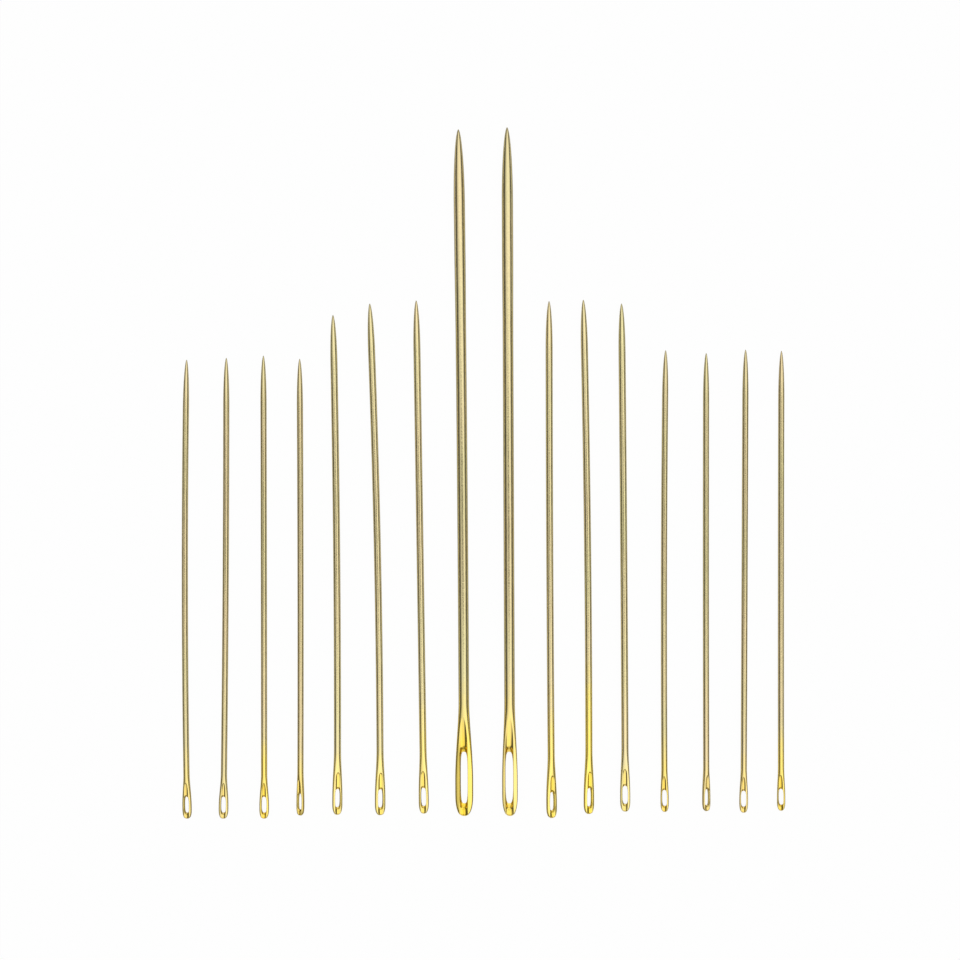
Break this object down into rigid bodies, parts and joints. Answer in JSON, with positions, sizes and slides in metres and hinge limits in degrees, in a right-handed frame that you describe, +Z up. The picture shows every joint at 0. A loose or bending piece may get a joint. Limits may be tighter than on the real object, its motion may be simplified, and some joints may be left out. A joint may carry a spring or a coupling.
{
  "type": "embroidery needle set",
  "caption": "Set of loose gold-plated hand embroidery needles in three lengths, laid in a row with points one way, each with a ground point, a pressed head and a long grooved eye.",
  "frame": {"origin": "middle of the row's bounding box, on the table it lies on", "axes": "+Y along the needles towards their points, +X across the row to the right, +Z up"},
  "size_m": [0.0528, 0.0604, 0.0009],
  "materials": {
    "shaft_gold": "drawn steel wire with a thin champagne gold plating",
    "head_gold": "pressed steel with a brighter yellow gold plating"
  },
  "bodies": {
    "small_needle_1": {"small_needle_1_shaft": "shaft_gold", "small_needle_1_eye": "head_gold"},
    "small_needle_2": {"small_needle_2_shaft": "shaft_gold", "small_needle_2_eye": "head_gold"},
    "small_needle_3": {"small_needle_3_shaft": "shaft_gold", "small_needle_3_eye": "head_gold"},
    "small_needle_4": {"small_needle_4_shaft": "shaft_gold", "small_needle_4_eye": "head_gold"},
    "medium_needle_1": {"medium_needle_1_shaft": "shaft_gold", "medium_needle_1_eye": "head_gold"},
    "medium_needle_2": {"medium_needle_2_shaft": "shaft_gold", "medium_needle_2_eye": "head_gold"},
    "medium_needle_3": {"medium_needle_3_shaft": "shaft_gold", "medium_needle_3_eye": "head_gold"},
    "large_needle_1": {"large_needle_1_shaft": "shaft_gold", "large_needle_1_eye": "head_gold"},
    "large_needle_2": {"large_needle_2_shaft": "shaft_gold", "large_needle_2_eye": "head_gold"},
    "medium_needle_4": {"medium_needle_4_shaft": "shaft_gold", "medium_needle_4_eye": "head_gold"},
    "medium_needle_5": {"medium_needle_5_shaft": "shaft_gold", "medium_needle_5_eye": "head_gold"},
    "medium_needle_6": {"medium_needle_6_shaft": "shaft_gold", "medium_needle_6_eye": "head_gold"},
    "small_needle_5": {"small_needle_5_shaft": "shaft_gold", "small_needle_5_eye": "head_gold"},
    "small_needle_6": {"small_needle_6_shaft": "shaft_gold", "small_needle_6_eye": "head_gold"},
    "small_needle_7": {"small_needle_7_shaft": "shaft_gold", "small_needle_7_eye": "head_gold"},
    "small_needle_8": {"small_needle_8_shaft": "shaft_gold", "small_needle_8_eye": "head_gold"}
  },
  "joints": [
    {"name": "small_needle_1_lift", "type": "slide", "parent": "large_needle_1", "child": "small_needle_1", "axis": [0, 0, 1], "range_m": [0, 0.03]},
    {"name": "small_needle_2_lift", "type": "slide", "parent": "large_needle_1", "child": "small_needle_2", "axis": [0, 0, 1], "range_m": [0, 0.03]},
    {"name": "small_needle_3_lift", "type": "slide", "parent": "large_needle_1", "child": "small_needle_3", "axis": [0, 0, 1], "range_m": [0, 0.03]},
    {"name": "small_needle_4_lift", "type": "slide", "parent": "large_needle_1", "child": "small_needle_4", "axis": [0, 0, 1], "range_m": [0, 0.03]},
    {"name": "medium_needle_1_lift", "type": "slide", "parent": "large_needle_1", "child": "medium_needle_1", "axis": [0, 0, 1], "range_m": [0, 0.03]},
    {"name": "medium_needle_2_lift", "type": "slide", "parent": "large_needle_1", "child": "medium_needle_2", "axis": [0, 0, 1], "range_m": [0, 0.03]},
    {"name": "medium_needle_3_lift", "type": "slide", "parent": "large_needle_1", "child": "medium_needle_3", "axis": [0, 0, 1], "range_m": [0, 0.03]},
    {"name": "large_needle_2_lift", "type": "slide", "parent": "large_needle_1", "child": "large_needle_2", "axis": [0, 0, 1], "range_m": [0, 0.03]},
    {"name": "medium_needle_4_lift", "type": "slide", "parent": "large_needle_1", "child": "medium_needle_4", "axis": [0, 0, 1], "range_m": [0, 0.03]},
    {"name": "medium_needle_5_lift", "type": "slide", "parent": "large_needle_1", "child": "medium_needle_5", "axis": [0, 0, 1], "range_m": [0, 0.03]},
    {"name": "medium_needle_6_lift", "type": "slide", "parent": "large_needle_1", "child": "medium_needle_6", "axis": [0, 0, 1], "range_m": [0, 0.03]},
    {"name": "small_needle_5_lift", "type": "slide", "parent": "large_needle_1", "child": "small_needle_5", "axis": [0, 0, 1], "range_m": [0, 0.03]},
    {"name": "small_needle_6_lift", "type": "slide", "parent": "large_needle_1", "child": "small_needle_6", "axis": [0, 0, 1], "range_m": [0, 0.03]},
    {"name": "small_needle_7_lift", "type": "slide", "parent": "large_needle_1", "child": "small_needle_7", "axis": [0, 0, 1], "range_m": [0, 0.03]},
    {"name": "small_needle_8_lift", "type": "slide", "parent": "large_needle_1", "child": "small_needle_8", "axis": [0, 0, 1], "range_m": [0, 0.03]}
  ]
}
